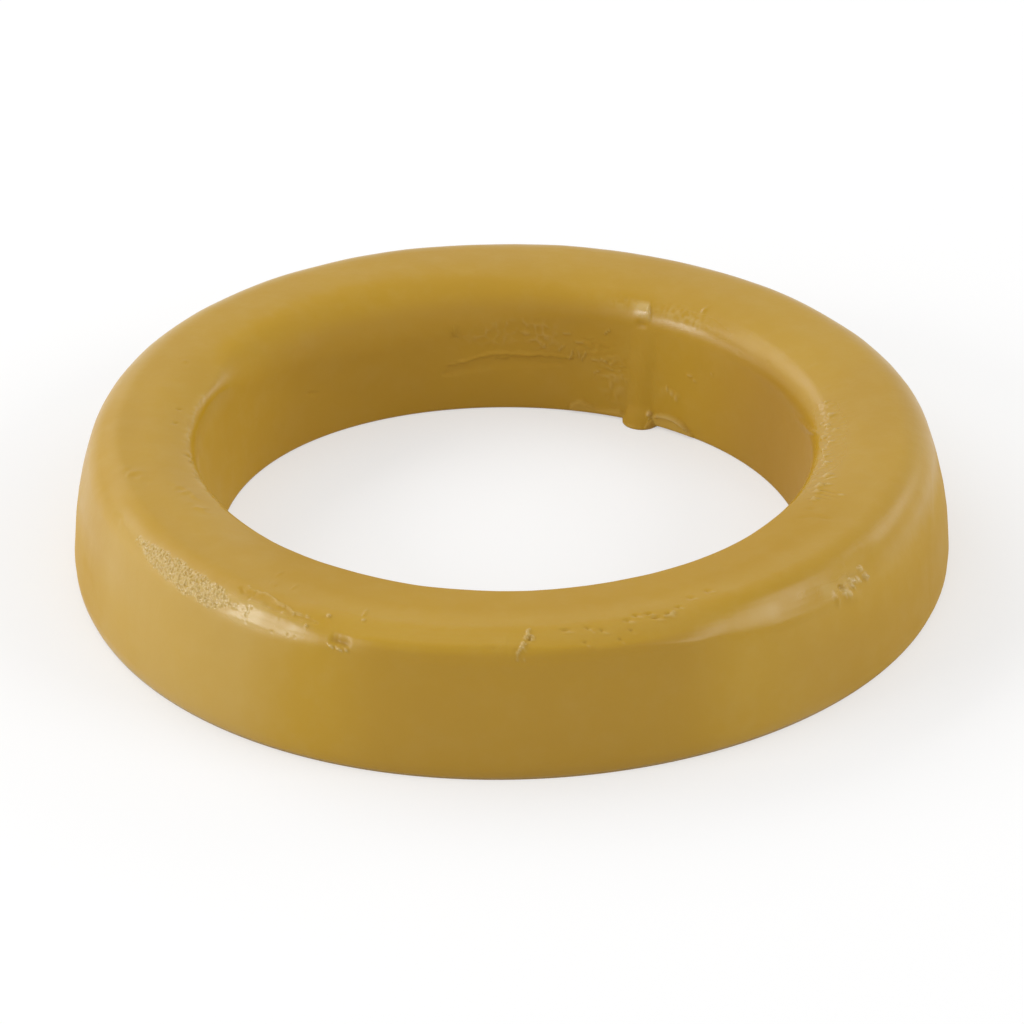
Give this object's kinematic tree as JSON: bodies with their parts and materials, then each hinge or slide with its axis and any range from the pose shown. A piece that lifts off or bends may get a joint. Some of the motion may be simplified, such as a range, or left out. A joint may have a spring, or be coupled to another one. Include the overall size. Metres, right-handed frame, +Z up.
{
  "type": "toilet wax ring",
  "caption": "Ring of soft wax that seals a toilet's outlet to the waste flange in the floor when the bowl is pressed down on it.",
  "frame": {"origin": "middle of the flat underside, on the axis of the bore", "axes": "+Z up along the bore's axis, from the flat underside to the rounded top; +X to the right and -Y to the front of the picture"},
  "size_m": [0.1255, 0.1279, 0.02],
  "materials": {
    "wax": "satin, slightly greasy petroleum wax"
  },
  "bodies": {
    "root": {"wax_ring": "wax"}
  },
  "joints": []
}
